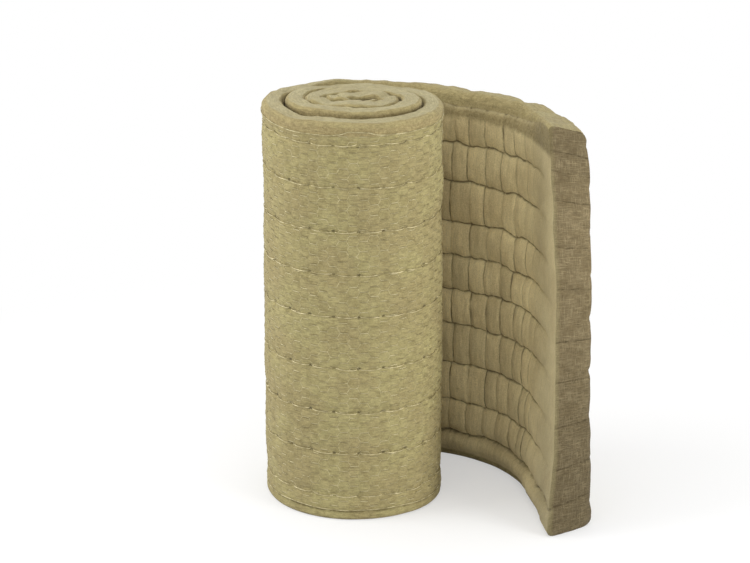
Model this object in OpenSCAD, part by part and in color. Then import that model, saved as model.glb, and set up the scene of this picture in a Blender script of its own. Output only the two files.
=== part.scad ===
// Stitched mineral wool mat, rolled up and stood on end, with its outer end sprung loose.
// The origin is on the floor at the roll's axis, +Z is up and the cut end faces -Y.

/* [Mat] */
// Width of the mat, which is its height as it stands on end
mat_w = 1000; // [800:10:1100]
// Thickness of one turn pressed in the roll
turn_t = 52; // [48:1:56]
// Thickness of the loose end, sprung back
loose_t = 84; // [70:1:92]
// Rows of stitching across the width
rows = 9; // [7:1:11]
// Distance from an edge of the mat to the first row
row_margin = 60; // [48:1:70]
// Depth of the quilting on the outer side
outer_sag = 3; // [1.5:0.5:5]
// Depth of the furrows on the inner side
inner_sag = 9; // [5:0.5:12]
// Rounding of the outer side's edges
outer_edge = 18; // [12:1:24]
// Rounding of the inner side's edges
inner_edge = 36; // [22:1:36]

/* [Roll] */
// Radius of the outer turn where the loose end leaves it
roll_r = 224; // [216:1:240]
// Direction from the axis in which the loose end leaves the roll, in degrees
peel_dir = 125; // [100:1:140]
// Gap between two turns
turn_gap = 5; // [3:0.5:7]
// Depth of that gap on the two ends of the roll
gap_depth = 45; // [30:1:60]
// Rounding of the turns beside the gap
lip_r = 12; // [8:1:15]
// Angle of the last, tightest turn, in degrees
last_angle = 100; // [80:1:110]
// Length of the eye at the middle of the roll
eye_l = 80; // [64:1:84]
// Width of the eye
eye_w = 24; // [14:1:26]

/* [Loose end] */
// Inner radius of the bend that the loose end springs out to
bend_r = 350; // [300:5:380]
// Angle of that bend, in degrees
bend_angle = 112; // [95:1:120]
// Length of the straight stretch behind the cut
straight_l = 266; // [160:2:340]
// Skew of the cut, as bending the mat leaves it, in degrees
cut_skew = 22; // [0:1:28]
// Lean of the cut, back from its foot, in degrees
cut_lean = 8; // [0:0.5:10]

/* [Hidden] */
$fn = 96;
bulge_fn = 720;
wool_colour = [0.60, 0.54, 0.38];
past = 10;
row_pitch = (mat_w - 2 * row_margin) / (rows - 1);

// Everything is drawn with the peel direction along +X. The roll's spiral has two centres on that line,
// half a turn's thickness apart, and its turns take them in alternate halves.
half_turn = turn_t / 2;
first_gap = 2;
last_gap = floor((roll_r - eye_l / 2) / half_turn);
last_gap_r = roll_r - last_gap * half_turn + turn_gap / 2;
last_gap_end = [-half_turn - last_gap_r * cos(last_angle), -last_gap_r * sin(last_angle)];
eye_turn = 60;
eye_dir = last_angle - eye_turn;
eye_lap = 6;

// The loose end is drawn a little slimmer than the turn it grows from, and its root laps into that turn.
seam = 1;
edge_rise = 1.5;
lap_angle = 1;
space_lap_angle = 10;
root_t = turn_t - turn_gap - 2 * seam;
inner_axis = roll_r - seam - root_t - bend_r;

// Its outer face turns about another axis than its inner face, so it swells to its loose thickness.
axis_shift = (loose_t - root_t) / (1 - cos(bend_angle));
outer_axis = inner_axis - axis_shift;
outer_r = bend_r + root_t + axis_shift;
outer_from = bend_r / 2;
space_from = bend_r / 4;

// Radius of the circle that bulges by sag between two rows.
function bulge_r(sag) = (row_pitch * row_pitch / 4 + sag * sag) / (2 * sag);

// Height of the middle of a quilted cell. The cells at the two edges are cut short.
function cell_z(i) = row_margin + (i - 0.5) * row_pitch;

// Strip of one quilted cell, clipped to the mat's width.
module cell_strip(i, x, w) {
    low = max(0, cell_z(i) - row_pitch / 2);
    high = min(mat_w, cell_z(i) + row_pitch / 2);
    translate([x, low]) square([w, high - low]);
}

// What a rounding of radius r takes off a corner at the origin, the solid being in -X and +Y.
// Where the rounding is cut in space it crosses the end of the mat at a slight angle, given by its rise.
module corner_loss(r, rise) {
    difference() {
        translate([-r, -past]) square([r + past, r + past - rise]);
        translate([-r, r - rise]) circle(r);
    }
}

// The same cut at both edges of the mat, for a face at x that looks towards +X or -X.
module edge_losses(x, r, facing, rise = 0) {
    translate([x, 0]) scale([facing, 1]) corner_loss(r, rise);
    translate([x, mat_w]) scale([facing, -1]) corner_loss(r, rise);
}

// Section from a radius out to a quilted outer face at radius r.
module outer_section(from, r) {
    bulge = bulge_r(outer_sag);
    difference() {
        union() {
            for (i = [0:rows]) {
                intersection() {
                    cell_strip(i, from, r + past - from);
                    translate([r - bulge, cell_z(i)]) circle(bulge, $fn = bulge_fn);
                }
            }
        }
        edge_losses(r, outer_edge, 1);
    }
}

// Section of the space from a radius out to a furrowed inner face at radius r.
module inner_space(from, r) {
    bulge = bulge_r(inner_sag);
    difference() {
        translate([from, -past]) square([r + inner_sag - from, mat_w + 2 * past]);
        for (i = [0:rows]) {
            intersection() {
                cell_strip(i, r - past, inner_sag + 2 * past);
                translate([r + bulge, cell_z(i)]) circle(bulge, $fn = bulge_fn);
            }
        }
    }
    edge_losses(r, inner_edge, -1, edge_rise);
}

// Section of the gap between two turns at the top of the roll, with rounded lips.
module gap_section(r) {
    translate([r, mat_w]) difference() {
        translate([-lip_r, -gap_depth]) square([turn_gap + 2 * lip_r, gap_depth + past]);
        for (side = [0, 1]) {
            translate([side * turn_gap, 0]) scale([2 * side - 1, 1]) {
                translate([0, -gap_depth - past]) square([lip_r + past, gap_depth + past - lip_r]);
                translate([lip_r, -lip_r]) circle(lip_r);
            }
        }
    }
}

// The rolled turns as one solid: two half turns of different radius.
module rolled_turns() {
    rotate_extrude(angle = 180, start = 0) outer_section(0, roll_r);
    translate([-half_turn, 0, 0]) rotate_extrude(angle = 180, start = 180) outer_section(0, roll_r - half_turn);
}

// The spiral gap that shows on the top end of the roll.
module spiral_gap() {
    for (i = [first_gap:last_gap]) {
        second_half = i % 2;
        translate([-half_turn * second_half, 0, 0])
            rotate_extrude(angle = i == last_gap ? last_angle : 180, start = 180 * second_half)
                gap_section(roll_r - i * half_turn);
    }
}

module on_both_ends() {
    children();
    translate([0, 0, mat_w]) mirror([0, 0, 1]) children();
}

// The slit-shaped eye that the spiral gap runs into, open from end to end.
module eye() {
    side_r = (eye_l * eye_l + eye_w * eye_w) / (4 * eye_w);
    translate([last_gap_end[0], last_gap_end[1], -past]) rotate([0, 0, eye_dir])
        translate([eye_l / 2 - eye_lap, 0, 0])
            linear_extrude(mat_w + 2 * past) intersection_for(side = [-1, 1])
                translate([0, side * (side_r - eye_w / 2)]) circle(side_r);
}

// A section swept back from the end of the bend through an angle, and straight on towards the cut.
module swept(axis, angle, length) {
    translate([axis, 0, 0]) rotate([0, 0, -bend_angle]) {
        rotate_extrude(angle = angle, start = 0) children();
        rotate([90, 0, 0]) linear_extrude(length) children();
    }
}

// What the skewed and leaning cut takes off the loose end.
module beyond_cut() {
    reach = 2 * (straight_l + loose_t);
    translate([inner_axis, 0, 0]) rotate([0, 0, -bend_angle]) translate([bend_r, -straight_l, 0])
        rotate([-cut_lean, 0, cut_skew]) translate([-reach / 2, -reach, -reach])
            cube([reach, reach, mat_w + 2 * reach]);
}

// The outer end of the mat, sprung away from the roll.
module loose_end() {
    difference() {
        swept(outer_axis, bend_angle + lap_angle, straight_l + loose_t) outer_section(outer_from, outer_r);
        swept(inner_axis, bend_angle + space_lap_angle, straight_l + 2 * loose_t) inner_space(space_from, bend_r);
        beyond_cut();
    }
}

module wool_mat() {
    color(wool_colour) rotate([0, 0, peel_dir]) {
        difference() {
            rolled_turns();
            on_both_ends() spiral_gap();
            eye();
        }
        loose_end();
    }
}

wool_mat();
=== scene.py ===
"""A roll of stitched stone wool mat, standing on end with its outer end sprung loose."""
import math
from functools import partialmethod

import bpy
import numpy as np
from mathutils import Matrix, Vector


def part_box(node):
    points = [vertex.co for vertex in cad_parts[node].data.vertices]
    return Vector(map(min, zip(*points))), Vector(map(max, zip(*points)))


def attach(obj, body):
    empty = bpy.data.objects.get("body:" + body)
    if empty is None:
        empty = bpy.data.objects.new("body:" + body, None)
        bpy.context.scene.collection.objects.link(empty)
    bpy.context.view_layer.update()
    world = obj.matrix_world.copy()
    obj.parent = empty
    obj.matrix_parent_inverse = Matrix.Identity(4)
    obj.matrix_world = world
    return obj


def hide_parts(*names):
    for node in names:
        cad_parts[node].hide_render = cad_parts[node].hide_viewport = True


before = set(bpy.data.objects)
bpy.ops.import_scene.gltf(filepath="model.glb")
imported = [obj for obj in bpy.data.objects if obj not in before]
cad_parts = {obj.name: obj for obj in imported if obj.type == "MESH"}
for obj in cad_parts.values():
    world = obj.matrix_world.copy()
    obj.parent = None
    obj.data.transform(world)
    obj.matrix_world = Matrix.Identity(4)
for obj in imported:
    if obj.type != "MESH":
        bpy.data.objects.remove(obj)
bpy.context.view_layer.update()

FULL_TURN = 2 * math.pi

# The mat's plan in metres, as the CAD model has it: turns, loose end and cut
MAT_W = float(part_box("wool_mat")[1][2])
TURN_T = 0.052
TURN_GAP = 0.005
LOOSE_T = 0.084
ROLL_R = 0.224
PEEL_DIR = math.radians(125)
BEND_R = 0.350
BEND_ANGLE = math.radians(112)
STRAIGHT_L = 0.266
CUT_SKEW = math.radians(22)
CUT_LEAN = math.tan(math.radians(8)) / math.cos(CUT_SKEW)
HALF_TURN = TURN_T / 2
ROOT_T = TURN_T - TURN_GAP

# The cut's twist, the share of the height where it is nil, and the length over which the lean dies out
CUT_TWIST = 0.055
TWIST_LEVEL = 0.35
LEAN_SPAN = 0.45

# Turns of the roll: they swell after the root and tighten towards the middle
TURNS = 3.62
SWELL = 0.0025
SWELL_ANGLES = (0.05, 0.8)
TIGHT_TURNS = (2.9, 3.5)
TIGHTENING = 0.62
SMALLEST_R = 0.04

# A noise field is height, length, for a face also size up the mat, and seed.
# A bell is height and width, and a hollow is depth and power.

# Inner turns: uneven, pressed in at the front, with a flat core
DEEP_TURNS = (0.93, 1.1)
TURN_WAVE = (0.004, 1 / 1.1, 5)
FRONT_PRESS = 0.09
CORE_R = (0.035, 0.10)
CORE_FLAT = 0.30
CORE_WIDE = 0.12

# Upper edge: its rise at the front of the roll and inside it, and its ripples
EDGE_RISE = 0.002
FRONT_RISE = 0.017
FRONT_RISE_ANGLES = (0, 0.6)
DEEP_RISE = 0.009
EDGE_RIPPLES = ((0.0022, 0.09, 11), (0.001, 0.022, 12))
CORE_RIPPLE = (0.006, 0.035, 14)
CORE_TURNS = (1.9, 2.3)
FOOT_RISE = 0.0006
FOOT_RIPPLE = (0.0006, 0.05, 13)

# Sag of the loose end, with a dip before the root and a slump behind the cut
SAG = 0.015
SAG_END = (-0.35, 0.10)
DIP = (0.009, 0.18)
DIP_BEFORE_ROOT = 0.36
SLUMP = 0.011
SLUMP_START = (0.02, 0.20)
SLUMP_END = (0.56, 0.70)

# Outer side of the upper edge: its droop near the cut, and tears as place, depth and length
CUT_DROOP = 0.005
CUT_DROOP_L = 0.30
TEARS = ((0.24, 0.006, 0.05), (0.408, 0.015, 0.035), (0.59, 0.003, 0.02))

# Bow of the loose end by share of the height: how far it stands out and spreads
BOW_LEVELS = (0, 0.06, 0.18, 0.3, 0.55, 0.8, 1)
BOW_OUT = (-0.038, -0.029, -0.013, -0.004, 0.008, 0.009, 0.005)
BOW_SPREAD = (0.046, 0.036, 0.020, 0.010, 0.005, 0.004, -0.004)
BOW_SPAN = 0.75

# Stitch rows: heights on the outer and on the inner face, and the stitch length
OUTER_ROWS = np.array([0.064, 0.176, 0.285, 0.398, 0.532, 0.640, 0.749, 0.860, 0.965])
INNER_ROWS = np.array([0.067, 0.155, 0.256, 0.362, 0.457, 0.546, 0.638, 0.742, 0.841])
EDGE_CELL = 0.1
STITCH = 0.062

# Relief of the netted face: puffed cells, pinched rows, stitch holes and a groove above the foot
PUFF = (0.0018, 2.4)
PINCH = (0.0012, 0.006)
HOLE = (0.0042, 0.008)
HOLE_W = 0.009
GROOVE = (0.0028, 0.0045)
GROOVE_Z = 0.024
OUTER_LUMPS = ((0.0022, 0.12, 0.09, 21), (0.0010, 0.036, 0.03, 22), (0.0004, 0.013, 0.013, 23))

# Bricks of the bare face: lengths, shift of a row and wander of a crease
BRICKS = 40
BRICK_START = -0.02
BRICK_L = (0.044, 0.070)
BRICK_SHIFT = 0.010
BRICK_SEED = 400
BRICK_WANDER = (0.10, 0.05, 0.05)
WANDER_SEED = 30

# Relief of the bare face: furrows, the lowest one deepest, and creases across them
FURROW = (0.0078, 2.2)
FURROW_LINE = 0.0034
FURROW_START = (0.01, 0.13)
LOWEST_W = 0.04
LOWEST_START = (0, 0.05)
LOWEST_MORE = 0.9
LOWEST_CREASES = 0.2
CREASE = (0.0036, 4)
CREASE_LINE = (0.0014, 24)
CREASE_START = (0.06, 0.28)
CREASE_TOP = (0.895, 0.920)
INNER_LUMPS = ((0.0020, 0.05, 0.05, 41), (0.0009, 0.017, 0.02, 42))
FURROW_RIPPLES = ((0.0035, 0.06, 50), (0.0025, 0.021, 51))
FURROW_LANE = 7
HIDDEN_OUTER = 0.3
HIDDEN_INNER = 0.2

# Rounding of the edges: in the roll, on its skin, near the cut and on the loose end
EDGE_R = 0.009
SKIN_TOP_R = 0.013
SKIN_LOW_R = 0.007
CUT_TOP_R = 0.009
CUT_LOW_R = 0.013
CUT_ROUND_L = 0.25
SHOULDER_R = 0.025
SHOULDER_L = 0.40
LOOSE_LOW_R = 0.009
LOOSE_ROUND_END = (-0.12, 0.05)
LARGEST_SHARE = 0.45
LEAST_FLAT = 0.004
RIM_CRUMBS = ((0.0013, 0.016, 0.012, 62), (0.0020, 0.055, 0.03, 64))

# Cut end: heights of its slits, which fan out to the outer side, and its bulge
SLITS = np.array([0.070, 0.158, 0.262, 0.372, 0.470, 0.598, 0.700, 0.812, 0.882, 0.928])
SLIT_FAN = 0.018
SLIT = (0.0045, 0.0035)
SLIT_MARGIN = 0.2
CUT_BULGE = 0.0035
CUT_LUMPS = ((0.0016, 1 / 5, 0.012, 71), (0.0012, 1 / 2, 0.04, 72))

# Netting: twist length, column step, mesh height and foot, its wander, and wires as radius and lift
TWIST = 0.018
NET_STEP = 0.025
NET_MESH = 0.026
NET_FOOT = 0.012
NET_START = 0.006
NET_STOP = 0.01
NET_DRIFT = (0.0016, 0.08, 0.08, 91)
NET_WANDER = (0.003, 0.15, 0.12, 92)
TWIST_WIRE = (0.0011, 0.0004)
STRAND_WIRE = (0.0005, -0.0002)
STRAND_POINTS = 3
STRAND_SIDES = 3

# Edge wires of the netting: the upper one humps up at the front of the roll
NET_LOW = 0.026
NET_LOW_RIPPLE = (0.003, 0.09, 81)
NET_TOP = 0.986
NET_TOP_RIPPLE = (0.003, 0.11, 82)
NET_TOP_ROOM = 0.020
HUMP = (0.015, 0.16)
HUMP_ANGLE = math.radians(145)
EDGE_WIRE = (0.0013, 0.0014)
EDGE_WIRE_STEP = 0.007
EDGE_WIRE_START = 0.004

# Stitching wire: it lies on the face and dips into a hole at each end of a stitch
STITCH_R = 0.0011
STITCH_POINTS = 10
STITCH_LIFT = 0.0016
STITCH_DIP = 0.007
STITCH_DIP_SHARE = 0.09
STITCH_SLACK = 0.0022
STITCH_START = 0.012
STITCH_STOP = 0.03
STITCH_RIPPLE = (0.0025, 0.07, 95)
STITCH_LANE = 9
WIRE_SIDES = 4

# Mesh density, and the heights between which the inner face's rows are shared out
ROWS = 128
KEPT_ROWS = 10
N_STRAIGHT = 36
N_BEND = 122
N_TURN = 180
INNER_STEP = 0.009
N_CORNER = 5
N_FLAT = 8
QUILT_SPAN = (0.034, 0.94)

# Places in a section loop: outer face, upper edge, inner face from top to foot, lower edge
N_FACE = ROWS + 1
N_RIM = 2 * (N_CORNER - 1) + N_FLAT + 1
IN_0 = N_FACE + N_RIM
LOW_0 = IN_0 + N_FACE
N_LOOP = LOW_0 + N_RIM


def smooth(lo, hi, x):
    """Smooth step from 0 at lo to 1 at hi."""
    t = np.clip((np.asarray(x, float) - lo) / (hi - lo), 0, 1)
    return t * t * (3 - 2 * t)


def bell(x, height, width):
    """A bump at 0 that dies out over about two widths."""
    return height * np.exp(-(x / width) ** 2)


def hollow(t, depth, power):
    """How far a cell falls off from its middle towards its sides, where t is whole."""
    return depth * np.abs(2 * (t % 1) - 1) ** power


def hashed(i, j, seed):
    """A fixed pseudo-random number from 0 to 1 for each lattice point."""
    h = (i.astype(np.int64) * 374761393 + j.astype(np.int64) * 668265263 + seed * 974634777) & 0xFFFFFFFF
    h = ((h ^ (h >> 13)) * 1274126177) & 0xFFFFFFFF
    return ((h ^ (h >> 16)) & 0xFFFF) / 65535.0


def noise(x, y, seed):
    """Smooth value noise from -1 to 1."""
    x, y = np.broadcast_arrays(np.asarray(x, float), np.asarray(y, float))
    i, j = np.floor(x), np.floor(y)
    fx, fy = smooth(0, 1, x - i), smooth(0, 1, y - j)
    low = hashed(i, j, seed) * (1 - fx) + hashed(i + 1, j, seed) * fx
    high = hashed(i, j + 1, seed) * (1 - fx) + hashed(i + 1, j + 1, seed) * fx
    return 2 * (low * (1 - fy) + high * fy) - 1


def ripple(s, *fields, lane=0):
    """Sum of noise fields along the mat, with another course in another lane."""
    return sum(height * noise(s / length, 0 * s + lane, seed) for height, length, seed in fields)


def lumps(s, z, *fields):
    """Sum of noise fields over a face."""
    return sum(height * noise(s / length, z / up, seed) for height, length, up, seed in fields)


# Section: the mat's plan

def turned(p):
    """From the frame with the peel direction along +X to the part's frame."""
    c, s = math.cos(PEEL_DIR), math.sin(PEEL_DIR)
    return np.stack([c * p[..., 0] - s * p[..., 1], s * p[..., 0] + c * p[..., 1]], -1)


def ray(angle):
    return np.stack([np.cos(angle), np.sin(angle)], -1)


def loose_plan():
    """Outer face, inner face and normal of the loose end, from the cut to the root."""
    shift = (LOOSE_T - ROOT_T) / (1 - math.cos(BEND_ANGLE))
    inner_axis = np.array([ROLL_R - ROOT_T - BEND_R, 0.0])
    outer_axis = inner_axis - [shift, 0]
    outer_r = BEND_R + ROOT_T + shift
    normal = ray(np.linspace(-BEND_ANGLE, 0, N_BEND + 1))
    outer, inner = outer_axis + outer_r * normal, inner_axis + BEND_R * normal
    heading = np.array([normal[0][1], -normal[0][0]])
    outer_l = STRAIGHT_L - LOOSE_T * math.tan(CUT_SKEW) - shift * math.sin(BEND_ANGLE)
    t = np.linspace(1, 0, N_STRAIGHT, endpoint=False)[:, None]
    return (
        np.concatenate([outer[0] + heading * outer_l * t, outer]),
        np.concatenate([inner[0] + heading * STRAIGHT_L * t, inner]),
        np.concatenate([np.repeat(normal[:1], N_STRAIGHT, 0), normal]),
    )


def spiral(theta):
    """Radius and centre of the two-centre spiral's outer face at an angle from the root."""
    half = np.floor(theta / math.pi + 1e-9)
    return ROLL_R - HALF_TURN * half, -HALF_TURN * (half % 2)


def rolled_plan():
    """Outer face, inner face, normal and angle of the rolled turns, from the root to the middle."""
    angles = list(np.linspace(0, FULL_TURN, N_TURN + 1)[1:])
    theta = FULL_TURN
    last = FULL_TURN * TURNS
    while theta < last:
        theta += INNER_STEP / max(spiral(np.array(theta))[0], SMALLEST_R)
        angles.append(min(theta, last))
    theta = np.array(angles)
    r, centre = spiral(theta)
    normal = ray(theta)
    outer = np.stack([centre, np.zeros_like(centre)], -1) + normal * r[:, None]
    tight = smooth(*TIGHT_TURNS, theta / FULL_TURN)
    thick = (ROOT_T + SWELL * smooth(*SWELL_ANGLES, theta)) * (1 - TIGHTENING * tight)
    inner = outer - normal * thick[:, None]
    return outer, inner, normal, theta


def sag(s, s_root):
    """How far the loose end has sunk at places along the mat."""
    loose = 1 - smooth(*SAG_END, s - s_root)
    slump = smooth(*SLUMP_START, s) * (1 - smooth(*SLUMP_END, s))
    return SAG * loose + bell(s - s_root + DIP_BEFORE_ROOT, *DIP) + SLUMP * slump


def cut_place(z, a):
    """How far the cut is set back: it leans, and its outer side turns from foot to top."""
    return CUT_LEAN * z + CUT_TWIST * a * (TWIST_LEVEL - z / MAT_W)


class Mat:
    """Stations along the mat, from the cut to the middle of the roll."""

    def __init__(self):
        loose_out, loose_in, loose_normal = loose_plan()
        rolled_out, rolled_in, rolled_normal, theta = rolled_plan()
        self.n_loose = len(loose_out)
        self.n_skin = self.n_loose + N_TURN
        self.outer = turned(np.concatenate([loose_out, rolled_out]))
        self.inner = turned(np.concatenate([loose_in, rolled_in]))
        self.normal = turned(np.concatenate([loose_normal, rolled_normal]))
        self.theta = np.concatenate([np.zeros(self.n_loose), theta])
        step = np.linalg.norm(np.diff(self.outer, axis=0), axis=1)
        self.s = np.concatenate([[0], np.cumsum(step)])
        self.s_root = self.s[self.n_loose - 1]
        self.s_skin = self.s[:self.n_skin]
        self.n = len(self.s)
        self.turn = self.theta / FULL_TURN
        self.deep = smooth(*DEEP_TURNS, self.turn)
        azimuth = np.arctan2(self.outer[:, 1], self.outer[:, 0])
        self.front = 0.5 - 0.5 * np.sin(azimuth)
        self.squash_middle()
        self.thick = np.linalg.norm(self.outer - self.inner, axis=1)

    def squash_middle(self):
        """The inner turns are pressed flat at the front and lie uneven."""
        wave = ripple(self.theta, TURN_WAVE) * self.deep
        for face in (self.outer, self.inner):
            face += self.normal * wave[:, None]
            press = FRONT_PRESS * self.deep * (face[:, 1] < 0)
            core = (1 - smooth(*CORE_R, np.linalg.norm(face, axis=1))) * self.deep
            face[:, 1] *= (1 - press) * (1 - CORE_FLAT * core)
            face[:, 0] *= 1 + CORE_WIDE * core

    def top(self):
        """Height of the upper edge: it stands up round the roll and sags along the loose end."""
        front = self.front * smooth(*FRONT_RISE_ANGLES, self.theta)
        rise = EDGE_RISE + FRONT_RISE * front + DEEP_RISE * self.deep
        uneven = ripple(self.s, *EDGE_RIPPLES) + ripple(self.s, CORE_RIPPLE) * smooth(*CORE_TURNS, self.turn)
        return MAT_W + rise - sag(self.s, self.s_root) + uneven

    def droop(self):
        """How much lower the upper edge is on the outer side."""
        torn = sum(bell(self.s - at, *tear) for at, *tear in TEARS)
        return CUT_DROOP * (1 - smooth(0, CUT_DROOP_L, self.s)) + torn

    def bottom(self):
        """Height of the mat's lower edge, which stands on the floor."""
        return FOOT_RISE + ripple(self.s, FOOT_RIPPLE)

    def leaned(self, z, a):
        """Place along the mat at heights z and shares a of the thickness, as the cut leans back."""
        s = self.s[:, None]
        return s + cut_place(z, a) * np.clip(1 - s / LEAN_SPAN, 0, 1)

    def plan(self, face, s):
        """A face of the plan at places along the mat."""
        return np.stack([np.interp(s, self.s, face[:, k]) for k in (0, 1)], -1)


mat = Mat()


# Section: relief of the two faces

def numbered(x, marks):
    """Number of a place among marks, growing by one from mark to mark."""
    return np.interp(x, marks, np.arange(len(marks)))


def with_margins(marks, margin):
    """Marks with one more before the first and one after the last."""
    return np.concatenate([[marks[0] - margin], marks, [marks[-1] + margin]])


def sunk(s):
    """By how much the rows of the loose end have sunk with its upper edge."""
    return 1 - sag(s, mat.s_root) / MAT_W


def outer_relief(s, z):
    """How far the netted face stands out from the plan."""
    z = z / sunk(s)
    to_row = np.min(np.abs(z[..., None] - OUTER_ROWS), -1)
    stitch = s / STITCH
    to_hole = np.abs(stitch - np.round(stitch)) * STITCH
    into = hollow(numbered(z, with_margins(OUTER_ROWS, EDGE_CELL)), *PUFF)
    into += bell(to_row, *PINCH) + bell(to_hole, *HOLE) * bell(to_row, 1, HOLE_W)
    into += bell(z - GROOVE_Z, *GROOVE)
    return lumps(s, z, *OUTER_LUMPS) - into


def brick(s, k):
    """Number of the brick along row k of the inner face."""
    lengths = np.random.default_rng(BRICK_SEED).uniform(*BRICK_L, BRICKS)
    shift = np.random.default_rng(BRICK_SEED + 1 + k).uniform(-BRICK_SHIFT, BRICK_SHIFT, BRICKS)
    return numbered(s, BRICK_START + np.cumsum(lengths) + shift)


def inner_relief(s, z, k, t):
    """How far the bare face stands out from the plan, at a share t of the height of cells k."""
    from_cut = s - cut_place(z, 0.0)
    lowest = bell(z - INNER_ROWS[0], 1, LOWEST_W)
    reach = np.maximum(smooth(*FURROW_START, from_cut), lowest * smooth(*LOWEST_START, from_cut))
    furrow = hollow(t, *FURROW) + FURROW_LINE * (t % 1 == 0)
    into = reach * (1 + LOWEST_MORE * lowest) * furrow
    for row in range(len(INNER_ROWS) + 1):
        here = k == row
        u = brick(s[here], row) + lumps(z[here], s[here], (*BRICK_WANDER, WANDER_SEED + row))
        share = smooth(*CREASE_START, from_cut[here]) * (1 - smooth(*CREASE_TOP, z[here]))
        if row == 0:
            share *= LOWEST_CREASES
        into[here] += share * (hollow(u, *CREASE) + hollow(u, *CREASE_LINE))
    return lumps(s, z, *INNER_LUMPS) - into


def bow(s, z, a):
    """How far the loose end bows outwards above and comes in at its foot, where it spreads."""
    h = z / MAT_W
    out = np.interp(h, BOW_LEVELS, BOW_OUT) + a * np.interp(h, BOW_LEVELS, BOW_SPREAD)
    return out * (1 - smooth(0, BOW_SPAN, s))


# Section: the mat's mesh

def inner_row_heights(low, high):
    """Heights of the inner face's mesh rows, one along each furrow, with each row's cell and share of it."""
    wobble = [ripple(mat.s, *FURROW_RIPPLES, lane=FURROW_LANE * k) for k in range(len(INNER_ROWS))]
    lines = np.concatenate([low[:, None], INNER_ROWS + np.stack(wobble, -1), high[:, None]], 1)
    share = np.diff(np.concatenate([QUILT_SPAN[:1], INNER_ROWS, QUILT_SPAN[1:]]))
    count = np.round(np.cumsum(share) / share.sum() * ROWS).astype(int)
    count = np.diff(np.concatenate([[0], count]))
    number = np.concatenate([k + np.arange(n) / n for k, n in enumerate(count)] + [[len(count)]])
    cell = np.minimum(number.astype(int), len(count) - 1)
    part = number - cell
    return lines[:, cell] * (1 - part) + lines[:, cell + 1] * part, cell, part


def edge_radii():
    """Rounding of the outer upper, inner upper, outer lower and inner lower edge along the mat."""
    loose = 1 - smooth(*LOOSE_ROUND_END, mat.s - mat.s_root)
    near_cut = 1 - smooth(0, CUT_ROUND_L, mat.s)
    skin = np.arange(mat.n) < mat.n_skin
    largest = LARGEST_SHARE * mat.thick
    shoulder = EDGE_R + SHOULDER_R * smooth(0, SHOULDER_L, mat.s)
    outer_top = np.minimum(np.where(skin, SKIN_TOP_R, EDGE_R) + CUT_TOP_R * near_cut, largest)
    inner_top = np.minimum(EDGE_R * (1 - loose) + shoulder * loose, mat.thick - outer_top - LEAST_FLAT)
    outer_low = np.minimum(np.where(skin, SKIN_LOW_R, EDGE_R) + CUT_LOW_R * near_cut, largest)
    inner_low = np.minimum(EDGE_R + LOOSE_LOW_R * loose, largest)
    return outer_top, inner_top, outer_low, inner_low


def section_points(push, a, z):
    """Points at shares a of the thickness and heights z, pushed along the outer normal."""
    s = mat.leaned(z, a)
    share = a[..., None]
    p = mat.plan(mat.inner, s) * (1 - share) + mat.plan(mat.outer, s) * share
    p = p + mat.plan(mat.normal, s) * (push + bow(s, z, a))[..., None]
    return np.concatenate([p, z[..., None]], -1)


def rim(up, heights, radii, pushes):
    """The upper edge, up being 1, or the lower one, up being -1, from the outer to the inner face.

    Gives the points, their shares of the thickness, and 1 on the flat of the edge or 0.5 on its roundings.
    """
    corner = np.linspace(0, math.pi / 2, N_CORNER + 1)[1:-1]
    flat = np.linspace(0, 1, N_FLAT + 1)
    angle = np.concatenate([corner, 0 * flat + math.pi / 2, corner[::-1]])
    way = np.concatenate([0 * corner, flat, 0 * corner + 1])
    outside = np.arange(N_RIM) < len(corner)
    r_out, r_in = (r[:, None] for r in radii)
    z_out, z_in = (z[:, None] for z in heights)
    thick = mat.thick[:, None]
    r = np.where(outside, r_out, r_in)
    lead = np.where(outside, 1, -1) * np.cos(angle)
    a = 1 - way + (r_in * way - r_out * (1 - way) + r * lead) / thick
    over = smooth(0, 1, 1 - way)
    z = z_in * (1 - over) + z_out * over - up * r * (1 - np.sin(angle))
    if up > 0:
        z = z + lumps(mat.s[:, None], a * thick, *RIM_CRUMBS)
    push = np.where(outside, *pushes) * lead
    return section_points(push, a, z), a, np.where(angle == math.pi / 2, 1.0, 0.5)


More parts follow.
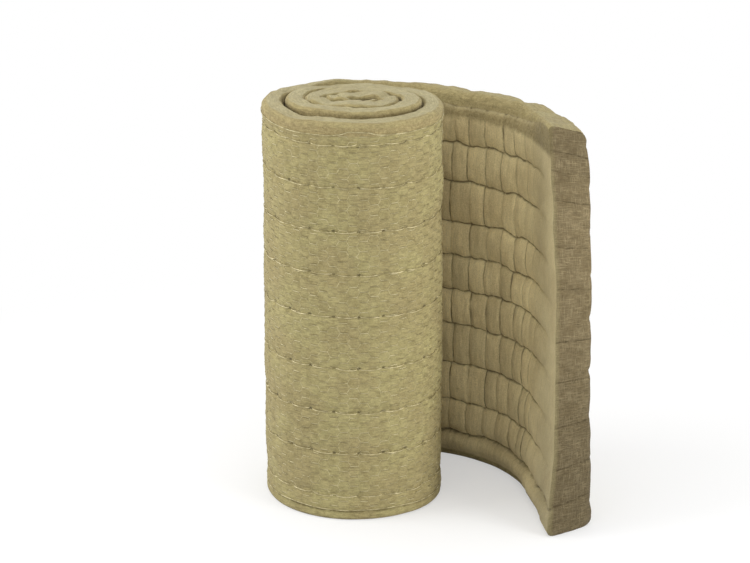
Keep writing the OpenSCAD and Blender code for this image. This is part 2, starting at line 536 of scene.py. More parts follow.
class Sections:
    """The mat's section loops, one per station, and what its mesh and material need of them."""

    def __init__(self):
        top, low = mat.top(), mat.bottom()
        top_out = top - mat.droop()
        r_out_top, r_in_top, r_out_low, r_in_low = edge_radii()

        t = np.linspace(0, 1, N_FACE)[None]
        z_out = (low + r_out_low)[:, None] * (1 - t) + (top_out - r_out_top)[:, None] * t
        push_out = outer_relief(mat.leaned(z_out, 1.0), z_out)
        push_out[mat.n_skin:] *= HIDDEN_OUTER
        z_in, self.cell, self.part = inner_row_heights(low + r_in_low, top - r_in_top)
        cells, parts = (np.broadcast_to(row, z_in.shape) for row in (self.cell, self.part))
        push_in = inner_relief(mat.leaned(z_in, 0.0), z_in, cells, parts)
        push_in[mat.n_loose:] *= HIDDEN_INNER

        ones, zeros = np.ones_like(z_out), np.zeros_like(z_in)
        ends = [(push_out[:, [k]], push_in[:, [k]]) for k in (0, -1)]
        top_points, a_top, flat_top = rim(1, (top_out, top), (r_out_top, r_in_top), ends[1])
        low_points, a_low, flat_low = rim(-1, (low, low), (r_out_low, r_in_low), ends[0])
        a_low = a_low[:, ::-1]
        thick = mat.thick[:, None]
        self.outer_face = section_points(push_out, ones, z_out)
        inner_face = section_points(-push_in, zeros, z_in)
        over_top, under_low = MAT_W + (1 - a_top) * thick, -(1 - a_low) * thick
        loops = [self.outer_face, top_points, inner_face[:, ::-1], low_points[:, ::-1]]
        self.points = np.concatenate(loops, 1)
        self.share = np.concatenate([ones, a_top, zeros, a_low], 1)
        self.level = np.concatenate([z_out, over_top, z_in[:, ::-1], under_low], 1)
        self.edge = np.concatenate([zeros[0], flat_top, zeros[0], flat_low[::-1]])


sections = Sections()


def kept(station):
    """Which points of a section loop are used: hidden faces keep only what is near their edges."""
    use = np.ones(N_LOOP, bool)
    if station >= mat.n_skin:
        use[KEPT_ROWS:N_FACE - KEPT_ROWS] = False
    if station >= mat.n_loose:
        use[IN_0 + KEPT_ROWS:LOW_0 - KEPT_ROWS] = False
    return use


def strip_faces():
    """Faces between neighbouring sections, with a long face where hidden points are left out."""
    faces = []
    for i in range(mat.n - 1):
        here, there = kept(i), kept(i + 1)
        base, after = i * N_LOOP, (i + 1) * N_LOOP
        both = np.flatnonzero(here & there)
        for k, k2 in zip(both, np.roll(both, -1)):
            mids = []
            if (k2 - k) % N_LOOP > 1:
                mids = [base + m for m in range(k2 - 1, k, -1) if here[m]]
            faces.append((base + k, after + k, after + k2, base + k2, *mids))
    last = (mat.n - 1) * N_LOOP
    faces.append(tuple(last + k for k in np.flatnonzero(kept(mat.n - 1))))
    return faces


def slit_level(z, t):
    """Height that counts for the slits at a share t from the outer side, as they fan out."""
    return z - (1 - t) * SLIT_FAN * (1 - 2 * z / MAT_W)


def cut_heading():
    """Direction in which the cut end faces."""
    edge = mat.outer[0] - mat.inner[0]
    edge = edge / np.linalg.norm(edge)
    return np.array([edge[1], -edge[0], 0.0])


def cut_cap(first_new):
    """The cut end: a grid from the outer to the inner face, bulged between its slits.

    Gives its new points, their shares of the way to the inner face, its faces, and that share in a loop.
    """
    ladder = [(k, LOW_0 - 1 - k) for k in range(N_FACE)]
    for c in range(N_CORNER - 1):
        ladder.append((N_FACE + c, IN_0 - 1 - c))
        ladder.insert(0, (N_LOOP - 1 - c, LOW_0 + c))
    top_flat = list(range(N_FACE + N_CORNER - 1, IN_0 - N_CORNER + 1))
    low_flat = list(range(N_LOOP - N_CORNER, LOW_0 + N_CORNER - 2, -1))
    shares = np.linspace(0, 1, N_FLAT + 1)
    ring_share = np.zeros(N_LOOP)
    ring_share[[inner for _, inner in ladder]] = 1
    ring_share[top_flat] = ring_share[low_flat] = shares

    t = shares[1:-1]
    outer, inner = np.moveaxis(sections.points[0, np.array(ladder)][:, :, None], 1, 0)
    points = outer * (1 - t[:, None]) + inner * t[:, None]
    z = points[..., 2]
    to_slit = np.min(np.abs(slit_level(z, t)[..., None] - SLITS), -1)
    lump = CUT_BULGE * np.sin(math.pi * t) - bell(to_slit, *SLIT) + lumps(t, z, *CUT_LUMPS)
    points = points + cut_heading() * lump[..., None]
    new = first_new + np.arange(z.size).reshape(z.shape)
    rows = [low_flat, *([o, *middle, i] for (o, i), middle in zip(ladder, new)), top_flat]
    faces = []
    for low, high in zip(rows, rows[1:]):
        faces += [(low[c], high[c], high[c + 1], low[c + 1]) for c in range(N_FLAT)]
    return points.reshape(-1, 3), np.tile(t, len(ladder)), faces, ring_share


def new_object(name, verts, faces, material):
    """A smooth mesh object in the scene."""
    mesh = bpy.data.meshes.new(name)
    mesh.from_pydata(verts, [], faces)
    mesh.materials.append(material)
    mesh.polygons.foreach_set("use_smooth", np.ones(len(mesh.polygons), bool))
    obj = bpy.data.objects.new(name, mesh)
    bpy.context.scene.collection.objects.link(obj)
    return obj


# Values for the material: edges of the loose end, cells beyond the outer rows, inner side of the cut
LOOSE_EDGE_LOSS = 0.36
LOOSE_EDGE_END = 0.25
BELOW_ROWS = -0.5
ABOVE_ROWS = len(OUTER_ROWS) - 0.8
LAST_PART = 0.985
CUT_INNER_BARE = 0.6


class Corners:
    """Values at the face corners of the mat's mesh, which its material reads."""

    def __init__(self, faces, n_strip, point, cap_points, cap_share, ring_share):
        self.n_cap = len(cap_points)
        self.point = point
        self.face = np.repeat(np.arange(len(faces)), [len(f) for f in faces])
        self.is_cap = self.face >= n_strip
        z = sections.points[..., 2]
        s = mat.leaned(z, sections.share)
        self.s = self.of_loops(s)
        self.level = self.of_loops(sections.level)
        self.place = self.of_loops(np.tile(np.arange(N_LOOP), mat.n), -1)
        self.fade = self.of_loops(smooth(*CREASE_START, s - cut_place(z, sections.share)))
        self.cut_share = self.of_loops(np.tile(ring_share, mat.n), cap_share)[self.is_cap]
        self.cut_z = self.of_loops(z, cap_points[:, 2])[self.is_cap]

    def of_loops(self, values, on_cap=0):
        """Values of the loops' points, and of the cut's own points, at the face corners."""
        return np.concatenate([np.ravel(values), np.broadcast_to(on_cap, self.n_cap)])[self.point]

    def along(self):
        """Place along and up the mat, and on the cut, place across it and height."""
        place = np.stack([self.s, self.level], -1)
        place[self.is_cap] = np.stack([self.cut_share * LOOSE_T, self.cut_z], -1)
        return place

    def quilt(self):
        """Numbers of stitches or bricks along the mat, and of cells or slits up it.

        They go by face corner, so that a furrow's two sides each keep their own bricks.
        """
        on_inner = (self.place >= IN_0) & (self.place < LOW_0)
        row = np.clip(LOW_0 - 1 - self.place, 0, ROWS)
        face_low = np.full(self.face[-1] + 1, ROWS)
        np.minimum.at(face_low, self.face, np.where(on_inner, row, ROWS))
        face_cell = sections.cell[np.minimum(face_low, ROWS - 1)][self.face]
        u = self.s / STITCH
        for k in range(len(INNER_ROWS) + 1):
            here = on_inner & (face_cell == k)
            u[here] = brick(self.s[here], k)

        cell, part = sections.cell[row], sections.part[row]
        part = np.where(cell == 0, 0.5 + 0.5 * part, part)
        part = np.where(cell == len(INNER_ROWS), LAST_PART * part, part)
        numbers = np.arange(len(OUTER_ROWS))
        outer = np.interp(self.level / sunk(self.s), OUTER_ROWS, numbers, left=BELOW_ROWS, right=ABOVE_ROWS)
        v = np.where(on_inner, cell + part, 1 + outer)
        v[self.is_cap] = numbered(slit_level(self.cut_z, self.cut_share), with_margins(SLITS, SLIT_MARGIN))
        return np.stack([u, v], -1)

    def zones(self):
        """Shares of the bare face, of an edge and of the cut, and how plain the creases are."""
        bare = np.zeros((mat.n, N_LOOP))
        bare[:, IN_0:LOW_0] = 1
        loose = 1 - smooth(-LOOSE_EDGE_END, 0, mat.s - mat.s_root)
        edge = sections.edge * (1 - LOOSE_EDGE_LOSS * loose[:, None] * (sections.edge == 1))
        zones = np.stack([self.of_loops(bare), self.of_loops(edge), 0 * self.s, self.fade], -1)
        soft = CUT_INNER_BARE * (self.cut_share > 0.999)
        zones[self.is_cap] = np.stack([soft, 0 * soft, 1 - soft, 0 * soft], -1)
        return zones


def mat_object(material):
    """The mat as one mesh, without the points that no face uses."""
    faces = strip_faces()
    n_strip = len(faces)
    cap_points, cap_share, cap_faces, ring_share = cut_cap(mat.n * N_LOOP)
    faces += cap_faces
    points = np.concatenate([sections.points.reshape(-1, 3), cap_points])
    used = np.zeros(len(points), bool)
    used[[k for face in faces for k in face]] = True
    index = np.cumsum(used) - 1
    faces = [tuple(int(index[k]) for k in face) for face in faces]
    obj = new_object("wool_mat_roll", points[used], faces, material)

    mesh = obj.data
    vertex = np.empty(len(mesh.loops), int)
    mesh.loops.foreach_get("vertex_index", vertex)
    corners = Corners(faces, n_strip, np.flatnonzero(used)[vertex], cap_points, cap_share, ring_share)
    mesh.uv_layers.new(name="along").data.foreach_set("uv", corners.along().ravel())
    mesh.uv_layers.new(name="quilt").data.foreach_set("uv", corners.quilt().ravel())
    zones = mesh.color_attributes.new("zones", "FLOAT_COLOR", "CORNER")
    zones.data.foreach_set("color", corners.zones().ravel())
    return obj


# Section: wires on the outer face

def on_face(s, z, lift):
    """Points on the outer face at places along and up the mat, lifted off it, and the normals there."""
    face = sections.outer_face[:mat.n_skin]
    back = cut_place(z, 1.0)
    grid_s = np.where(s < LEAN_SPAN, (s - back) / (1 - back / LEAN_SPAN), s)
    i = numbered(grid_s, mat.s_skin)
    i0 = np.clip(i.astype(int), 0, mat.n_skin - 2)
    fi = (i - i0)[..., None]
    low, high = (np.interp(grid_s, mat.s_skin, face[:, k, 2]) for k in (0, -1))
    j = np.clip((z - low) / (high - low) * ROWS, 0, ROWS - 1e-6)
    j0 = j.astype(int)
    fj = (j - j0)[..., None]
    p_low = face[i0, j0] * (1 - fi) + face[i0 + 1, j0] * fi
    p_high = face[i0, j0 + 1] * (1 - fi) + face[i0 + 1, j0 + 1] * fi
    p = p_low * (1 - fj) + p_high * fj
    p[..., 2] = z
    n = mat.normal[i0] * (1 - fi) + mat.normal[i0 + 1] * fi
    n = np.concatenate([n / np.linalg.norm(n, axis=-1, keepdims=True), np.zeros_like(fi)], -1)
    return p + n * np.broadcast_to(lift, s.shape)[..., None], n


def tubes(points, normals, radius, sides):
    """Thin tubes of equal point count as one vertex and one face list."""
    count, m = points.shape[:2]
    tangent = np.gradient(points, axis=1)
    tangent /= np.linalg.norm(tangent, axis=-1, keepdims=True)
    side = np.cross(tangent, normals)
    side /= np.linalg.norm(side, axis=-1, keepdims=True)
    up = np.cross(side, tangent)
    angle = FULL_TURN * (np.arange(sides)[:, None] + 0.5) / sides
    ring = up[:, :, None] * np.cos(angle) + side[:, :, None] * np.sin(angle)
    verts = (points[:, :, None] + radius * ring).reshape(-1, 3)
    t, k, a = np.meshgrid(np.arange(count), np.arange(m - 1), np.arange(sides), indexing="ij")
    here = (t * m + k) * sides
    b = (a + 1) % sides
    quads = np.stack([here + a, here + sides + a, here + sides + b, here + b], -1).reshape(-1, 4)
    return verts, quads


def merged(parts):
    """Vertex and face lists as one."""
    verts, faces, base = [], [], 0
    for v, f in parts:
        verts.append(v)
        faces.append(f + base)
        base += len(v)
    return np.concatenate(verts), np.concatenate(faces).tolist()


def net_bottom(s):
    """Height of the netting's lower edge wire along the mat."""
    return NET_LOW + ripple(s, NET_LOW_RIPPLE)


def net_top(s):
    """Height of the netting's upper edge wire along the mat."""
    i = numbered(s, mat.s).astype(int)
    hump = bell(mat.theta[i] - HUMP_ANGLE, *HUMP)
    return np.minimum(NET_TOP + hump + ripple(s, NET_TOP_RIPPLE), (mat.top() - mat.droop())[i] - NET_TOP_ROOM)


def net_wires(start, stop, wire, s_end):
    """Short wires between places along and up the mat, where they lie inside the netting."""
    radius, lift = wire
    t = np.linspace(0, 1, STRAND_POINTS)[None]
    s, z = (a[:, None] * (1 - t) + b[:, None] * t for a, b in zip(start, stop))
    inside = (z > net_bottom(s)) & (z < net_top(s)) & (s > NET_START + cut_place(z, 1.0)) & (s < s_end)
    inside = inside.all(1)
    p, normal = on_face(s[inside], z[inside], lift)
    return tubes(p, normal, radius, STRAND_SIDES)


def netting_object(material):
    """Hexagonal netting: twists, slanted strands between them and a wire along each edge."""
    s_end = mat.s_skin[-1] - NET_STOP
    columns = np.arange(1, int(s_end / NET_STEP))
    levels = np.arange(0, int(MAT_W / NET_MESH) + 1)
    column, level = (grid.ravel() for grid in np.meshgrid(columns, levels, indexing="ij"))
    s = column * NET_STEP
    z = NET_FOOT + level * NET_MESH + (column % 2) * NET_MESH / 2
    s = s + lumps(s, z, NET_DRIFT)
    twist_z = z + lumps(s, z, NET_WANDER)
    left, right = s - TWIST / 2, s + TWIST / 2
    parts = [net_wires((left, twist_z), (right, twist_z), TWIST_WIRE, s_end)]
    for way in (-1, 1):
        next_z = z + way * NET_MESH / 2
        next_z = next_z + lumps(s + NET_STEP, next_z, NET_WANDER)
        next_left = right + NET_STEP - TWIST
        parts.append(net_wires((right, twist_z), (next_left, next_z), STRAND_WIRE, s_end))
    edge_s = np.arange(NET_START, s_end, EDGE_WIRE_STEP)
    radius, lift = EDGE_WIRE
    for height in (net_bottom(edge_s), net_top(edge_s)):
        on = edge_s > cut_place(height, 1.0) + EDGE_WIRE_START
        p, normal = on_face(edge_s[on][None], height[on][None], lift)
        parts.append(tubes(p, normal, radius, WIRE_SIDES))
    return new_object("wire_netting", *merged(parts), material)


def stitching_object(material):
    """Stitches in rows on the outer face, each dipping into the wool at its two ends."""
    parts = []
    t = np.linspace(0, 1, STITCH_POINTS)
    dip = np.clip(1 - np.minimum(t, 1 - t) / STITCH_DIP_SHARE, 0, 1)
    s_end = mat.s_skin[-1] - STITCH_STOP
    for k, z in enumerate(OUTER_ROWS):
        s = (np.arange(0, int(s_end / STITCH))[:, None] + t[None]) * STITCH
        s = s[(s[:, -1] < s_end) & (s[:, 0] > cut_place(z, 1.0) + STITCH_START)]
        slack = STITCH_SLACK * np.sin(math.pi * t)
        height = z * sunk(s) + ripple(s, STITCH_RIPPLE, lane=STITCH_LANE * k) - slack
        p, normal = on_face(s, height, STITCH_LIFT - STITCH_DIP * dip)
        parts.append(tubes(p, normal, STITCH_R, WIRE_SIDES))
    return new_object("stitching_wire", *merged(parts), material)


# Section: materials

def rgb(r, g, b):
    """A linear colour from an sRGB one in 0 to 255."""
    def lin(v):
        v /= 255
        return v / 12.92 if v <= 0.04045 else ((v + 0.055) / 1.055) ** 2.4
    return (lin(r), lin(g), lin(b), 1.0)


# Colours of the wool, some as a pair that noise mixes
FACE = (rgb(170, 160, 112), rgb(161, 148, 105))
FACE_CLUMPS = rgb(136, 124, 81)
# The bare face is paler than the netted face's wool, partly as painted light that lifts its shade inside the
# loose end
BARE = (rgb(232, 215, 165), rgb(218, 200, 152))
EDGE = (rgb(175, 165, 126), rgb(168, 157, 118))
# Brown of the bare fibres on the rounded edges, the end of the netting and the top of the bare face, partly
# painted shade
BROWN_AND_SHADE = (rgb(142, 127, 88), rgb(168, 153, 110))
CUT_END = (rgb(116, 102, 74), rgb(148, 134, 102))
CUT_END_CLUMPS = rgb(104, 90, 62)
NET_SHADE = rgb(92, 82, 48)
GROOVE_SHADE = rgb(84, 74, 42)
SEAM_SHADE = rgb(66, 56, 30)
SLIT_SHADE = rgb(52, 42, 24)
# Painted highlight for the lips below the furrows
LIP_HIGHLIGHT = rgb(226, 212, 166)
CRACK_SHADE = rgb(66, 53, 30)
WHITE = (1, 1, 1, 1)

# Wires, as a light colour and one with wear, and the floor as it sends light back and as it is seen
NET_WIRE = (rgb(204, 193, 150), rgb(150, 138, 97))
STITCH_WIRE = (rgb(218, 206, 162), rgb(164, 152, 110))
FLOOR_BOUNCE = ((0.50, 0.50, 0.50, 1), (0.52, 0.52, 0.52, 1))
FLOOR_SEEN = (0.91, 0.91, 0.91, 1)

# Shares of the painted shade and highlight layers in the wool's colour
NET_SHARE = 0.50
SEAM_SHARE = 0.72
LIP_HIGHLIGHT_SHARE = 0.30
CRACK_SHARE = 0.70

# Heights of the bump's layers in metres
GRAIN_H = 0.0012
CLUMP_H = 0.0022
FIBRE_UP_H = 0.0012
FIBRE_ON_H = 0.0024
PILLOW_H = 0.0004
CRUMB_H = 0.0016
CRACK_H = 0.0030

# Bands by height: end of the netting, brown top of the bare face, both partly painted shade, and groove above
# the foot
SELVEDGE = (0.984, 0.990)
UPPER = (0.903, 0.922)
UPPER_WANDER = 0.018
GROOVE_LINE_Z = 0.023


class Graph:
    """A short way to write a material's node tree."""

    def __init__(self, name):
        self.material = bpy.data.materials.new(name)
        self.material.use_nodes = True
        self.tree = self.material.node_tree
        self.shader = self.tree.nodes["Principled BSDF"]
        self.place = self.add("ShaderNodeTexCoord", out="Object")

    def link(self, value, socket):
        """Link a socket to another one, or set it to a constant."""
        if isinstance(value, bpy.types.NodeSocket):
            self.tree.links.new(value, socket)
        else:
            socket.default_value = value

    def set(self, **inputs):
        """Values of the shader's inputs, with _ in their names for a space."""
        for name, value in inputs.items():
            self.link(value, self.shader.inputs[name.replace("_", " ")])

    def node(self, kind, inputs=None, **settings):
        """A new node with its settings and inputs."""
        node = self.tree.nodes.new(kind)
        for key, value in settings.items():
            setattr(node, key, value)
        for key, value in (inputs or {}).items():
            self.link(value, node.inputs[key])
        return node

    def add(self, kind, inputs=None, out=0, **settings):
        return self.node(kind, inputs, **settings).outputs[out]

    def math(self, operation, *values):
        return self.add("ShaderNodeMath", dict(enumerate(values)), operation=operation)

    def chain(self, operation, first, *others):
        """One operation on two or more values."""
        for value in others:
            first = self.math(operation, first, value)
        return first

    times = partialmethod(chain, "MULTIPLY")
    plus = partialmethod(chain, "ADD")
    minus = partialmethod(chain, "SUBTRACT")
    least = partialmethod(chain, "MINIMUM")
    most = partialmethod(chain, "MAXIMUM")

    def hypot(self, a, b):
        return self.math("SQRT", self.plus(self.times(a, a), self.times(b, b)))

    def to_whole(self, value):
        """Distance to the nearest whole number."""
        return self.math("PINGPONG", value, 0.5)

    def remap(self, value, given, wanted=(0.0, 1.0)):
        """A smooth step over the given range, from the first to the second wanted value."""
        inputs = {0: value, 1: given[0], 2: given[1], 3: wanted[0], 4: wanted[1]}
        return self.add("ShaderNodeMapRange", inputs, interpolation_type="SMOOTHSTEP")

    def near(self, value, reach, start=0.0):
        """1 up to the start and 0 from the reach on."""
        return self.remap(value, (start, reach), (1.0, 0.0))

    def mix(self, share, a, b, blend="MIX"):
        inputs = {0: share, 6: a, 7: b}
        return self.add("ShaderNodeMix", inputs, out=2, data_type="RGBA", blend_type=blend)

    def shaded(self, colour, tone):
        """A colour times a grey value."""
        return self.mix(1.0, colour, self.grey(tone), "MULTIPLY")

    def noise(self, scale, detail=2.0, rough=0.5, distort=0.0, vector=None):
        """Noise by place in the object's frame, unless another vector is given."""
        vector = self.place if vector is None else vector
        inputs = {"Vector": vector, "Scale": scale, "Detail": detail}
        return self.add("ShaderNodeTexNoise", {**inputs, "Roughness": rough, "Distortion": distort})

    def chance(self, a, b, c=0.0, dimensions="2D"):
        """A random number for each set of whole numbers."""
        vector = self.add("ShaderNodeCombineXYZ", {0: a, 1: b, 2: c})
        return self.add("ShaderNodeTexWhiteNoise", {"Vector": vector}, noise_dimensions=dimensions)

    def grey(self, value):
        return self.add("ShaderNodeCombineColor", {0: value, 1: value, 2: value})

    def split(self, vector):
        return self.node("ShaderNodeSeparateXYZ", {0: vector}).outputs[:2]


class WoolGraph(Graph):
    """The wool's node tree with what its layers share: places, zones and textures."""

    def __init__(self):
        super().__init__("stone_wool")
        self.along = self.add("ShaderNodeUVMap", uv_map="along")
        self.s, self.z = self.split(self.along)
        self.u, self.v = self.split(self.add("ShaderNodeUVMap", uv_map="quilt"))
        zones = self.node("ShaderNodeVertexColor", layer_name="zones")
        self.bare, self.rim, self.cut = self.node("ShaderNodeSeparateColor", {0: zones.outputs[0]}).outputs
        self.fade = zones.outputs[1]
        netted = self.minus(1.0, self.least(1.0, self.plus(self.bare, self.rim, self.cut)))
        self.selvedge = self.times(netted, self.remap(self.z, SELVEDGE))
        self.netted = self.minus(netted, self.selvedge)

        self.blotch = self.remap(self.noise(9.0, 3.0, 0.55), (0.35, 0.65))
        self.clump = self.noise(60.0, 3.0, 0.6, 0.6)
        self.grain = self.noise(330.0, 3.0, 0.65)
        self.crumbs = self.noise(150.0, 4.0, 0.7, 0.5)
        self.fibre_up = self.fibres(520.0, 30.0)
        self.fibre_on = self.fibres(46.0, 300.0, 4.0, 0.62, 0.7)
        ragged = self.plus(self.z, self.times(self.minus(self.clump, 0.5), UPPER_WANDER))
        self.upper = self.remap(ragged, UPPER, (0.0, 0.95))

    def fibres(self, along, up, detail=3.0, rough=0.6, distort=0.0):
        """Noise stretched along or up the mat, by its fineness both ways."""
        vector = self.add("ShaderNodeMapping", {"Vector": self.along, "Scale": (along, up, 1.0)})
        return self.noise(1.0, detail, rough, distort, vector)


def cut_end_colour(g):
    """The cut end: crossed fibres, with painted shade that darkens it towards the foot and at the very top.
    """
    weave = g.most(g.fibres(520.0, 34.0), g.fibres(48.0, 420.0))
    colour = g.mix(g.remap(weave, (0.45, 0.68)), *CUT_END)
    colour = g.mix(g.remap(g.noise(26.0, 3.0, 0.6), (0.4, 0.7), (0.0, 0.45)), colour, CUT_END_CLUMPS)
    painted_shade = g.times(g.remap(g.z, (0.05, 0.80), (0.60, 1.05)), g.remap(g.z, (0.80, 0.98), (1.0, 0.86)))
    return g.shaded(colour, painted_shade)


def wool_colour(g):
    """Colours of the netted face, the bare face, the edges and the cut end, with grain and fibres."""
    face = g.mix(g.blotch, *FACE)
    face = g.mix(g.remap(g.clump, (0.38, 0.72), (0.0, 0.5)), face, FACE_CLUMPS)
    # Brown for the top of the bare face, the rounded edges and the band above the netting: partly the fibres'
    # own colour, partly painted shade
    brown_and_shade = g.mix(g.remap(g.crumbs, (0.35, 0.65)), *BROWN_AND_SHADE)
    # The bare face's pale colour is partly painted light, and its brown top is partly painted shade
    bare = g.mix(g.upper, g.mix(g.blotch, *BARE), brown_and_shade)
    shoulder = g.remap(g.to_whole(g.rim), (0.15, 0.5), (0.0, 0.55))
    shoulder = g.most(shoulder, g.times(g.selvedge, 0.88))
    colour = g.mix(g.bare, face, bare)
    colour = g.mix(g.remap(g.rim, (0.45, 0.9)), colour, g.mix(g.blotch, *EDGE))
    colour = g.mix(shoulder, colour, brown_and_shade)
    colour = g.mix(g.cut, colour, cut_end_colour(g))
    colour = g.shaded(colour, g.remap(g.grain, (0.25, 0.75), (0.86, 1.12)))
    on_streak = g.grey(g.remap(g.fibre_on, (0.3, 0.7), (0.80, 1.15)))
    up_streak = g.grey(g.remap(g.fibre_up, (0.3, 0.7), (0.90, 1.07)))
    return g.mix(1.0, colour, g.mix(g.bare, on_streak, up_streak), "MULTIPLY")


def with_netting(g, colour):
    """Shade along the wires and in the groove above the foot. Also gives the swell between the wires."""
    half_twist, half_mesh = TWIST / 2, NET_MESH / 2
    run = NET_STEP - TWIST
    across = g.math("PINGPONG", g.s, NET_STEP)
    rise = g.math("PINGPONG", g.minus(g.z, NET_FOOT), half_mesh)
    past_twist = g.minus(across, half_twist)
    next_twist = g.minus(NET_STEP - half_twist, across)
    to_twist = g.hypot(g.most(past_twist, 0.0), rise)
    to_next = g.hypot(g.most(next_twist, 0.0), g.minus(half_mesh, rise))
    slant = g.minus(g.times(past_twist, half_mesh), g.times(rise, run))
    to_strand = g.math("DIVIDE", g.math("ABSOLUTE", slant), math.hypot(run, half_mesh))
    to_twist = g.least(to_twist, to_next)
    to_wire = g.least(to_twist, to_strand)
    line = g.most(g.near(to_twist, 0.0028), g.remap(to_wire, (0.0, 0.0022), (0.35, 0.0)))
    patchy = g.remap(g.noise(17.0), (0.38, 0.62), (0.15, 1.0))
    colour = g.mix(g.times(line, patchy, g.netted, NET_SHARE), colour, NET_SHADE)
    to_groove = g.math("ABSOLUTE", g.minus(g.z, GROOVE_LINE_Z))
    groove = g.remap(to_groove, (0.0008, 0.0045), (0.55, 0.0))
    groove = g.times(groove, g.remap(g.clump, (0.36, 0.62), (0.15, 1.0)), g.netted)
    return g.mix(groove, colour, GROOVE_SHADE), g.remap(to_wire, (0.0, 0.007))


def with_stitches(g, colour):
    """Painted shade in dark lines along the stitch rows, in the holes at the stitches, which differ at random
    from stitch to stitch, and in the slits of the cut. Also gives the lines.
    """
    to_row = g.times(g.to_whole(g.v), OUTER_ROWS[1] - OUTER_ROWS[0])
    to_stitch = g.times(g.to_whole(g.u), STITCH)
    seam = g.times(g.near(to_row, 0.0030, 0.0006), g.remap(g.clump, (0.40, 0.70), (0.0, 0.45)))
    # Random strength of the painted shade in each stitch hole
    wear_and_shade = g.remap(g.chance(g.math("ROUND", g.u), g.math("ROUND", g.v)), (0.1, 0.9), (0.35, 1.0))
    hole = g.near(g.hypot(g.times(to_stitch, 0.45), to_row), 0.0036, 0.0010)
    seam = g.times(g.most(seam, g.times(hole, wear_and_shade)), g.netted)
    colour = g.mix(g.times(seam, SEAM_SHARE), colour, SEAM_SHADE)
    slit = g.times(g.near(g.to_whole(g.v), 0.024, 0.006), g.cut)
    slit = g.times(slit, g.remap(g.clump, (0.35, 0.62), (0.1, 0.65)))
    return g.mix(slit, colour, SLIT_SHADE), seam


def with_bricks(g, colour):
    """Furrows, creases and brick tones of the bare face, with painted shade in the furrows and creases. Also
    gives the furrows and creases.
    """
    brick_u = g.plus(g.u, g.times(g.minus(g.noise(34.0, 3.0), 0.5), 0.16))
    cell = g.math("FLOOR", g.v)
    to_crease, to_furrow = g.to_whole(brick_u), g.to_whole(g.v)

    # Creases: broken, some of them faint, with few at the foot and none at the top
    strength = g.remap(g.chance(g.math("ROUND", brick_u), cell), (0.05, 0.85), (0.22, 1.0))
    broken = g.remap(g.noise(22.0), (0.36, 0.58), (0.45, 1.0))
    crease = g.times(g.near(to_crease, 0.070), strength, broken, g.fade)
    crease = g.times(crease, g.minus(1.0, g.upper), g.remap(g.v, (0.90, 1.0), (0.2, 1.0)))

    # Furrows: the lowest one is wider and runs up to the cut, and creases meet them in knots
    lowest = g.remap(g.v, (1.3, 1.7), (0.95, 0.0))
    reach = g.least(1.0, g.plus(g.remap(g.fade, (0.0, 0.5), (0.05, 1.0)), lowest))
    furrow_on = g.times(reach, g.remap(g.clump, (0.3, 0.55), (0.45, 1.0)))
    furrow_w = g.remap(g.noise(40.0), (0.35, 0.65), (0.022, 0.052))
    furrow_w = g.times(furrow_w, g.plus(1.0, g.times(lowest, 0.9)))
    furrow = g.times(g.near(to_furrow, furrow_w), furrow_on)
    knot = g.times(g.near(to_crease, 0.14), g.near(to_furrow, 0.075))
    furrow = g.most(furrow, g.times(knot, g.fade))
    crack = g.times(g.most(crease, furrow), g.bare)

    # Painted highlight on the lips below the furrows, tones of bricks and folds, and painted shade on a strip
    # behind the cut and towards the foot
    lip_highlight = g.times(g.remap(g.math("FRACT", g.v), (0.90, 0.965)), furrow_on, g.bare)
    colour = g.mix(g.times(lip_highlight, LIP_HIGHLIGHT_SHARE), colour, LIP_HIGHLIGHT)
    brick_no = g.chance(g.math("FLOOR", brick_u), cell, 7.0, "3D")
    fold = g.remap(g.fibres(70.0, 9.0, 2.0, 0.5), (0.3, 0.7), (0.94, 1.06))
    tone = g.times(g.remap(brick_no, (0.0, 1.0), (0.90, 1.07)), fold)
    tone = g.mix(g.times(g.bare, g.fade), WHITE, g.grey(tone))
    colour = g.mix(1.0, colour, tone, "MULTIPLY")
    from_cut = g.minus(g.s, g.times(g.z, CUT_LEAN))
    painted_shade = g.remap(from_cut, (0.05, 0.21), (g.remap(g.z, (0.0, 0.75), (0.46, 0.68)), 1.0))
    painted_shade = g.times(painted_shade, g.remap(g.z, (0.0, 0.22), (0.88, 1.0)))
    colour = g.mix(g.bare, colour, g.shaded(colour, painted_shade))
    return g.mix(g.times(crack, CRACK_SHARE), colour, CRACK_SHADE), crack


def wool_material():
    """Stone wool: netted outer face, bare inner face, edges and cut end."""
    g = WoolGraph()
    colour, pillow = with_netting(g, wool_colour(g))
    colour, seam = with_stitches(g, colour)
    colour, crack = with_bricks(g, colour)
    height = g.plus(
        g.times(g.grain, GRAIN_H),
        g.times(g.clump, CLUMP_H),
        g.times(g.fibre_up, g.bare, FIBRE_UP_H),
        g.times(g.fibre_on, g.netted, FIBRE_ON_H),
        g.times(pillow, g.netted, PILLOW_H),
        g.times(g.crumbs, g.most(g.cut, g.rim), CRUMB_H),
    )
    height = g.minus(height, g.times(g.most(crack, seam), CRACK_H))
    bump = g.add("ShaderNodeBump", {"Strength": 0.8, "Distance": 1.0, "Height": height})
    g.set(Base_Color=colour, Normal=bump, Roughness=g.remap(g.grain, (0.2, 0.8), (0.86, 1.0)))
    g.set(Specular_IOR_Level=0.15, Sheen_Weight=0.08)
    return g.material


def wire_material(name, colours):
    """Matt galvanised wire, with wear in places."""
    g = Graph(name)
    wear_and_shade = g.noise(45.0, 3.0, 0.6)
    g.set(Base_Color=g.mix(g.remap(wear_and_shade, (0.35, 0.65)), *colours), Metallic=0.35)
    g.set(Roughness=g.remap(wear_and_shade, (0.3, 0.7), (0.35, 0.6)))
    return g.material


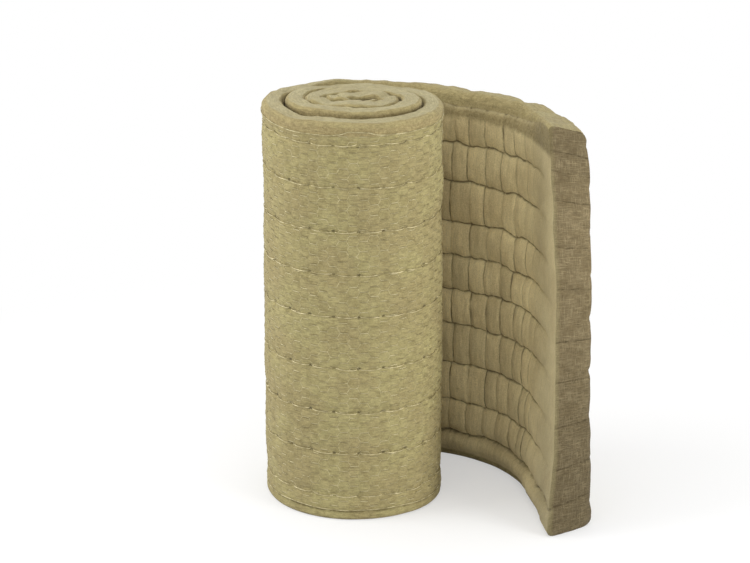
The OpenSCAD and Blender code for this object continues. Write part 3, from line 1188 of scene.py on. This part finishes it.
def floor_material():
    """A pale floor, seen as white with the part's shadow on it, and white paper far from the part."""
    g = Graph("pale_floor")
    path = g.node("ShaderNodeLightPath").outputs
    mirrored = g.plus(path["Is Glossy Ray"], path["Is Transmission Ray"])
    seen = g.least(1.0, g.plus(path["Is Camera Ray"], mirrored))
    g.set(Base_Color=g.mix(seen, g.mix(g.noise(3.0), *FLOOR_BOUNCE), FLOOR_SEEN), Specular_IOR_Level=0.1)
    g.set(Roughness=g.remap(g.noise(40.0), (0.3, 0.7), (0.85, 0.95)))
    away = g.add("ShaderNodeVectorMath", {0: g.place}, out=1, operation="LENGTH")
    paper = g.add("ShaderNodeEmission", {"Color": WHITE, "Strength": 1.0})
    share = g.times(seen, g.remap(away, (0.9, 1.6), (0.44, 1.0)))
    mixed = g.add("ShaderNodeMixShader", {0: share, 1: g.shader.outputs[0], 2: paper})
    g.link(mixed, g.tree.nodes["Material Output"].inputs["Surface"])
    return g.material


# Section: camera, light and floor

CAMERA_EYE = (0.0485, -7.762, 3.396)
CAMERA_AIM = (0.0485, 0.0, 0.543)
FOCAL_PX = 3358.5
FRAME_PX = 750

# Light panels: place, side and power, all aimed at the middle of the part
PANEL_AIM = (0.1, 0, 0.5)
PANELS = {
    "left_panel": ((-3.6, -0.5, 1.9), 2.4, 104),
    "right_panel": ((3.3, -2.4, 1.0), 1.6, 94),
    "top_panel": ((0.2, 0.3, 4.5), 4.0, 42),
}
WORLD_LIGHT = 0.76
FLOOR_REACH = 14.0


def placed(name, data, place, aim):
    """A camera or a light at a place, turned towards its aim."""
    obj = bpy.data.objects.new(name, data)
    obj.location = place
    obj.rotation_euler = (Vector(aim) - Vector(place)).to_track_quat("-Z", "Y").to_euler()
    bpy.context.scene.collection.objects.link(obj)
    return obj


def add_camera():
    data = bpy.data.cameras.new("camera")
    data.lens = FOCAL_PX / FRAME_PX * data.sensor_width
    bpy.context.scene.camera = placed("camera", data, CAMERA_EYE, CAMERA_AIM)


def add_floor():
    x = FLOOR_REACH
    corners = [(-x, -x, 0), (x, -x, 0), (x, x, 0), (-x, x, 0)]
    floor = new_object("floor", corners, [(0, 1, 2, 3)], floor_material())


def add_light():
    world = bpy.data.worlds.new("studio")
    world.use_nodes = True
    background = world.node_tree.nodes["Background"]
    background.inputs["Color"].default_value = WHITE
    background.inputs["Strength"].default_value = WORLD_LIGHT
    bpy.context.scene.world = world
    bpy.context.scene.view_settings.view_transform = "Standard"
    for name, (place, side, power) in PANELS.items():
        data = bpy.data.lights.new(name, "AREA")
        data.shape = "RECTANGLE"
        data.size = side
        data.size_y = side
        data.energy = power
        placed(name, data, place, PANEL_AIM)


mat_piece = mat_object(wool_material())
netting = netting_object(wire_material("netting_wire", NET_WIRE))
stitching = stitching_object(wire_material("stitch_wire", STITCH_WIRE))
for piece in (mat_piece, netting, stitching):
    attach(piece, "root")
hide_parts("wool_mat")

add_floor()
add_light()
add_camera()
